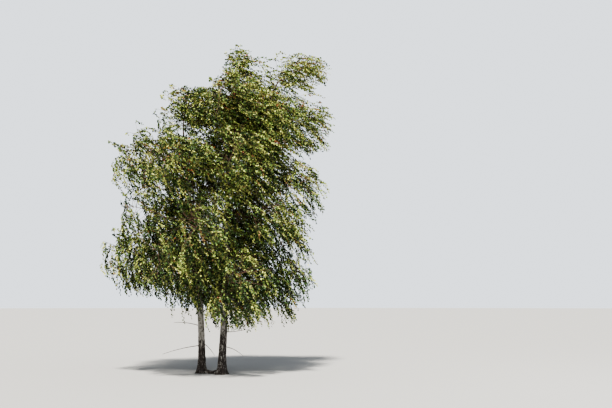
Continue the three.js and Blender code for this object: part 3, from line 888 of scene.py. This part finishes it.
def ridge_surface(stem, other, columns=36, rows=60):
    """Half of the low ridge between the stems: a half round section from a foot to the middle."""
    foot = np.array(stem.foot, dtype=float)
    half = (np.array(other.foot) - foot) / 2
    share = np.linspace(0, 1, rows)[:, None]
    angle = np.linspace(0, np.pi, columns)[None]
    level = unit(np.cross(half, UP))
    lumps = ripples(angle, share, stem.seed + 7, count=16, around=5, upward=16)
    radius = lerp(RIDGE.start_radius, RIDGE.middle_radius, share)
    radius = radius * (1 + RIDGE.lumps * lumps * np.sin(angle))
    section = level * column(np.cos(angle)) + UP * column(np.sin(angle))
    top = foot + half * column(share) + section * column(radius)
    floor = top * (1, 1, 0)
    vertices = np.concatenate([top.reshape(-1, 3), floor.reshape(-1, 3)])
    over = grid_faces(rows, columns, closed=False)
    faces = [over, over[:, ::-1] + rows * columns]
    for row, turned in ((0, 1), (rows - 1, -1)):
        upper = np.arange(columns) + row * columns
        lower = upper + rows * columns
        strip = np.stack([upper[:-1], upper[1:], lower[1:], lower[:-1]], axis=1)
        faces.append(strip[:, ::turned])
    crack = np.clip(RIDGE.darkness - RIDGE.darkness_change * lumps, 0, 1)
    return vertices, faces, np.full(len(vertices), stem.radius), np.tile(crack.ravel(), 2)


def limb_surface(grown, seed, columns, rows, knots):
    """A limb's bark: rings along its line, with a collar at its foot and slight knots."""
    at = np.arange(len(grown.points))
    places = np.linspace(0, at[-1], rows)
    points = between(places, at, grown.points)
    share = np.linspace(0, 1, rows)[:, None]
    angle = angles(columns)[None]
    bumps = ripples(angle, share, seed, count=14, around=3, upward=70)
    collar = COLLAR.swell * np.exp(-share / COLLAR.fade)
    radii = np.interp(places, at, grown.radii)[:, None] * (1 + knots * bumps + collar)
    across, other = ring_frames(points)
    ring = across[:, None] * column(np.cos(angle)) + other[:, None] * column(np.sin(angle))
    vertices = (points[:, None] + ring * column(radii)).reshape(-1, 3)
    return vertices, tube_faces(rows, columns), radii.ravel(), np.zeros(rows * columns)


# Materials


class Value:
    """A number's socket in a material, on which Python's operators add Math nodes."""

    def __init__(self, graph, socket):
        self.graph = graph
        self.socket = socket

    def math(self, operation, *others):
        operands = dict(enumerate([self, *others]))
        return self.graph.node("ShaderNodeMath", {"operation": operation}, operands)

    def __add__(self, other):
        return self.math("ADD", other)

    __radd__ = __add__

    def __mul__(self, other):
        return self.math("MULTIPLY", other)

    __rmul__ = __mul__

    def __sub__(self, other):
        return self.math("SUBTRACT", other)

    def __rsub__(self, other):
        return (self * -1) + other


class Graph:
    """The nodes of one material."""

    def __init__(self, name):
        self.material = bpy.data.materials.new(name)
        self.material.use_nodes = True
        self.tree = self.material.node_tree
        self.tree.nodes.clear()

    def node(self, kind, settings=None, inputs=None, output=0):
        """A node of a kind: its settings first, then the values or links of its sockets."""
        made = self.tree.nodes.new(kind)
        for key, value in (settings or {}).items():
            setattr(made, key, value)
        for key, value in (inputs or {}).items():
            if isinstance(value, Value):
                self.tree.links.new(value.socket, made.inputs[key])
            else:
                made.inputs[key].default_value = value
        return Value(self, made.outputs[output]) if made.outputs else made

    def blend(self, factor, first, second):
        """A colour between two, from a Mix node, whose colour sockets share one name."""
        colors = {0: factor, 6: opaque(first), 7: opaque(second)}
        return self.node("ShaderNodeMix", {"data_type": "RGBA"}, colors, 2)

    def step(self, value, low, high):
        """0 below low, 1 above high, and a smooth step between them."""
        return self.node(
            "ShaderNodeMapRange", {"interpolation_type": "SMOOTHSTEP"},
            {"Value": value, "From Min": low, "From Max": high},
        )

    def noise(self, scale, stretch, detail=3.0, roughness=0.55, cut=None):
        """Noise on the object's own coordinates, stretched along its axes, cut between levels."""
        place = self.node("ShaderNodeTexCoord", output="Object")
        place = self.node("ShaderNodeVectorMath", {"operation": "MULTIPLY"}, {0: place, 1: stretch})
        sockets = {"Vector": place, "Scale": scale, "Detail": detail, "Roughness": roughness}
        value = self.node("ShaderNodeTexNoise", None, sockets)
        return self.step(value, *cut) if cut else value

    def attribute(self, name):
        """A number that the mesh keeps at its points."""
        return self.node("ShaderNodeAttribute", {"attribute_name": name}, output="Fac")

    def bump(self, height, strength, distance):
        """A normal that follows a height."""
        sockets = {"Strength": strength, "Distance": distance, "Height": height}
        return self.node("ShaderNodeBump", None, sockets)

    def finish(self, color, roughness, normal=None, **fixed):
        """Ends in one Principled shader, and returns the material."""
        sockets = {"Base Color": opaque(color), "Roughness": roughness, **fixed}
        if normal:
            sockets["Normal"] = normal
        shader = self.node("ShaderNodeBsdfPrincipled", None, sockets)
        self.node("ShaderNodeOutputMaterial", None, {"Surface": shader})
        return self.material


def opaque(color):
    """A colour with its alpha, or the link that it already is."""
    return color if isinstance(color, Value) else (*color, 1.0)


PAPER = SimpleNamespace(pale=(0.38, 0.365, 0.335), shaded=(0.17, 0.155, 0.14))
MARK = (0.075, 0.062, 0.056)
YOUNG_WOOD = SimpleNamespace(brown=(0.150, 0.085, 0.060), line=(0.34, 0.28, 0.23))
CRACK = (0.045, 0.036, 0.032)


def birch_bark():
    """Pale papery bark with dark lines across, black cracks at the foot, and brown young wood.

    `girth` is the limb's radius there, and `crack` is how dark its relief makes it.
    """
    graph = Graph("birch_bark")
    girth = graph.attribute("girth")
    crack = graph.attribute("crack")
    broad = graph.noise(3.5, (1, 1, 0.8), detail=4, cut=(0.38, 0.62))
    lines = graph.noise(1.0, (16, 16, 190), detail=2, roughness=0.4, cut=(0.60, 0.70))
    patches = graph.noise(1.0, (11, 11, 15), detail=4, roughness=0.6, cut=(0.54, 0.62))
    flecks = graph.noise(1.0, (34, 34, 22), detail=3, roughness=0.6, cut=(0.50, 0.60))
    paper = graph.blend(broad, PAPER.pale, PAPER.shaded)
    marks = lines.math("MAXIMUM", patches * 0.85)
    paper = graph.blend(marks, paper, MARK)
    youth = 1 - graph.step(girth, 0.014, 0.040)
    wood = graph.blend(youth, paper, graph.blend(lines * 0.6, YOUNG_WOOD.brown, YOUNG_WOOD.line))
    crack = crack - flecks * 0.30 + graph.noise(40, (1, 1, 0.5)) * 0.3
    dark = graph.step(crack, 0.25, 0.60)
    wood = graph.blend(dark, wood, CRACK)
    grain = graph.noise(55, (1, 1, 2.2), detail=4) - marks * 0.5
    return graph.finish(wood, 0.62 + dark * 0.3, graph.bump(grain, strength=0.55, distance=0.003))


def dead_wood():
    """Grey weathered wood with faint streaks."""
    graph = Graph("dead_wood")
    streaks = graph.noise(30, (0.5, 1, 1))
    pale = graph.step(streaks, 0.35, 0.7)
    color = graph.blend(pale, (0.055, 0.043, 0.038), (0.130, 0.108, 0.096))
    return graph.finish(color, 0.85, graph.bump(streaks, strength=0.4, distance=0.002))


def twig_bark():
    """Dark reddish young wood, with paler stretches."""
    graph = Graph("twig_bark")
    pale = graph.noise(9, (1, 1, 1), cut=(0.45, 0.62))
    return graph.finish(graph.blend(pale, (0.095, 0.048, 0.036), (0.170, 0.105, 0.080)), 0.6)


def leaf_materials():
    """One plain leaf material for each tint."""
    gloss = {"Specular IOR Level": 0.2}
    return [Graph(name).finish(color, 0.45, **gloss) for name, (color, _, _) in TINTS.items()]


# The tree

masses = [mass for tier in TIERS for mass in tier_masses(tier)]
masses += [
    mass_of(
        top.name, top.carrier, top.centre, top.half, (1, 0, 0), top.aim, TWIGS_IN_TOP,
        top.half[0] * ENTRY.inward, top.fork,
    )
    for top in TOPS
]
raise_walls(masses)

carriers = {stem.name: stem_limb(stem) for stem in STEMS.values()}
carriers[LEADER.name] = leader_limb()
boughs = {mass.name: bough_limb(mass, carriers[mass.carrier]) for mass in masses if mass.fork}
limbs = [*carriers.values(), *boughs.values()]
dead_limbs = [dead_limb(number + 1, *values) for number, values in enumerate(DEAD_LIMBS)]

bark = birch_bark()
leaf_colors = leaf_materials()
twig_color = twig_bark()


def bark_piece(name, surfaces, material, nodes, slot):
    """Surfaces of bark joined into one piece, which keeps their girth and cracks."""
    points, faces, girths, cracks = zip(*surfaces)
    vertices, groups = combined(zip(points, faces))
    girth = np.concatenate(girths)
    crack = np.concatenate(cracks)
    piece(name, vertices, groups, [material], nodes, slot, girth=girth, crack=crack)


def build_limbs(name, grown, shape, material, slot):
    """Limbs as one piece of bark."""
    surfaces = [limb_surface(each, SEED + number, *shape) for number, each in enumerate(grown)]
    bark_piece(name, surfaces, material, [each.name for each in grown], slot)


def grow_mass(index, mass, random):
    """A mass's stem and its twigs: those of the solids, finer ones, and the shortest ones."""
    carrier = boughs.get(mass.name, carriers[mass.carrier])
    stem = mass_stem(mass, carrier)
    seed = SEED + index * MASS_SEED_STEP
    finer = FINER_TWIGS.get(mass.name, FINER_TWIGS.get(mass.tier))
    turn = index + FINER.turn
    twigs = [
        twigs_of(mass, index, stem, mass.twigs, seeded(seed), TWIG.radius, TWIG.reach, limbs),
        twigs_of(mass, turn, stem, finer, seeded(seed + 1), FINER.radius, FINER.reach, limbs),
        limb_twigs(stem, LIMB_TWIG.first_in_mass, LIMB_TWIG.length, random),
    ]
    if mass.name in boughs:
        twigs.append(limb_twigs(carrier, LIMB_TWIG.first_on_bough, LIMB_TWIG.length, random))
    return stem, joined(twigs)


def inner_twigs(lowest, highest):
    """Twigs on the stems and the leader between two heights, twice as close in their last part."""
    grown = []
    for number, carrier in enumerate(carriers.values()):
        random = np.random.default_rng(SEED + number)
        for first in STEM_TWIG.firsts:
            twigs = limb_twigs(carrier, first, STEM_TWIG.length, random)
            heights = twigs.roots[:, 2]
            grown.append(pick(twigs, (heights >= lowest) & (heights < highest)))
    return joined(grown)


def build_foliage(tier, lowest, highest, random):
    """The leaves and the twigs of a tier's masses, and of the stems that run up between them."""
    members = [(index, mass) for index, mass in enumerate(masses) if mass.tier == tier]
    stems, twigs = zip(*(grow_mass(index, mass, random) for index, mass in members))
    twigs = joined([*twigs, inner_twigs(lowest, highest)])
    sprays = thinned(keep_inside(sprays_on(twigs, random)), random)
    sprays.tint = deal_tints_and_painted_shade(sprays, random)
    leaves = leaves_on(sprays, limbs, random)
    nodes = [f"{mass.name}_foliage" for _, mass in members]

    vertices, faces = leaf_mesh(leaves)
    tint = np.repeat(leaves.tint, len(LEAF_FACES))
    piece(f"leaves_{tier}", vertices, faces, leaf_colors, nodes, "foliage", smooth=False, tint=tint)

    steps = np.linspace(0, 1, 4)
    stem_lines = np.stack([stem.points for stem in stems])
    stem_radii = np.stack([stem.radii for stem in stems])
    twig_lines = lerp(twigs.roots[:, None], twigs.tips[:, None], steps[None, :, None])
    twig_radii = lerp(twigs.radii[:, None], TWIG.tip_radius / 2, steps[None])
    spray_lines = spray_points(sprays, steps)
    spray_radii = np.linspace(SPRAY.radius, SPRAY.tip_radius, len(steps))
    spray_radii = np.broadcast_to(spray_radii, spray_lines.shape[:2])
    vertices, faces = combined([
        tubes(stem_lines, stem_radii, sides=8),
        tubes(twig_lines, twig_radii, sides=4),
        tubes(spray_lines, spray_radii, sides=3),
    ])
    piece(f"twigs_{tier}", vertices, faces, [twig_color], nodes, "limb_bark")


for stem, other in ((MAIN_STEM, LEFT_STEM), (LEFT_STEM, MAIN_STEM)):
    surfaces = [stem_surface(stem), ridge_surface(stem, other)]
    bark_piece(f"bark_{stem.name}", surfaces, bark, [stem.name], "stem_bark")
build_limbs("bark_leader", [carriers[LEADER.name]], LIMB_BARK.leader, bark, "limb_bark")
for tier in BANDS:
    grown = [boughs[mass.name] for mass in masses if mass.tier == tier and mass.name in boughs]
    build_limbs(f"bark_boughs_{tier}", grown, LIMB_BARK.bough, bark, "limb_bark")
build_limbs("bark_dead_limbs", dead_limbs, LIMB_BARK.dead_limb, dead_wood(), "dead_wood")
for number, (tier, (lowest, highest)) in enumerate(BANDS.items()):
    build_foliage(tier, lowest, highest, np.random.default_rng(SEED + number))


# Stage, light and camera

HORIZON_ROW = 304
FOCAL_PIXELS = 656
PHOTO_SIZE = (612, 408)
EYE = (0, -15.742, 1.604)
EYE_TURN = math.radians(7.15)
SENSOR = 36.0
CROWN_MIDDLE = Vector((0, 0, 4))
KEY_FROM = Vector((-1.5, -8, 13))
FILL_FROM = Vector((12, -8, 7))
FLOOR = SimpleNamespace(color=(0.36, 0.36, 0.357), radii=(0.5, 4, 12, 30, 90, 260), sides=64)
SURROUND = SimpleNamespace(color=(0.86, 0.91, 0.97, 1), light=0.50, looks=1.15)


def pale_floor():
    """A wide pale floor, round so that it looks the same from all sides."""
    angle = angles(FLOOR.sides)
    ring = np.stack([np.cos(angle), np.sin(angle), 0 * angle], axis=1)
    vertices = (np.array(FLOOR.radii)[:, None, None] * ring[None]).reshape(-1, 3)
    faces = [grid_faces(len(FLOOR.radii), FLOOR.sides), np.arange(FLOOR.sides)[None]]
    mesh = bpy.data.meshes.new("floor")
    mesh.from_pydata(vertices, [], [face.tolist() for group in faces for face in group])
    mesh.materials.append(Graph("pale_floor").finish(FLOOR.color, 0.9))
    linked("floor", mesh)


def lamp(name, kind, place, turn, **settings):
    """A lamp of a kind, at a place and turned."""
    data = bpy.data.lights.new(name, kind)
    for key, value in settings.items():
        setattr(data, key, value)
    made = linked(name, data)
    made.location = place
    made.rotation_euler = turn.to_euler()


def studio():
    """The floor, a pale surround, a soft key from high in front and a weaker fill from the right.

    The surround looks brighter than the light it gives, so that shade in the crown stays deep. The
    key is a far lamp, as bright all over the floor, and the fill is a large square one.
    """
    pale_floor()
    world = bpy.data.worlds.new("pale_surround")
    world.use_nodes = True
    background = world.node_tree.nodes["Background"]
    background.inputs["Color"].default_value = SURROUND.color
    seen = world.node_tree.nodes.new("ShaderNodeLightPath")
    strength = world.node_tree.nodes.new("ShaderNodeMapRange")
    strength.inputs["To Min"].default_value = SURROUND.light
    strength.inputs["To Max"].default_value = SURROUND.looks
    world.node_tree.links.new(seen.outputs["Is Camera Ray"], strength.inputs["Value"])
    world.node_tree.links.new(strength.outputs["Result"], background.inputs["Strength"])
    bpy.context.scene.world = world
    lamp(
        "key", "SUN", KEY_FROM, KEY_FROM.to_track_quat("Z", "Y"),
        angle=math.radians(6), energy=8.0, color=(1.0, 0.95, 0.86),
    )
    lamp(
        "fill", "AREA", FILL_FROM, (CROWN_MIDDLE - FILL_FROM).to_track_quat("-Z", "Y"),
        size=8, energy=500, color=(0.92, 0.96, 1.0),
    )
    bpy.context.scene.view_settings.look = "AgX - High Contrast"


def photo_camera():
    """The camera at a standing person's eye, turned right and tilted up as the photo looks."""
    camera = bpy.data.cameras.new("camera")
    camera.sensor_width = SENSOR
    camera.lens = SENSOR * FOCAL_PIXELS / PHOTO_SIZE[0]
    made = linked("camera", camera)
    made.location = EYE
    tilt = math.atan((HORIZON_ROW - PHOTO_SIZE[1] / 2) / FOCAL_PIXELS)
    made.rotation_euler = (math.pi / 2 + tilt, 0, -EYE_TURN)
    bpy.context.scene.camera = made


studio()
photo_camera()
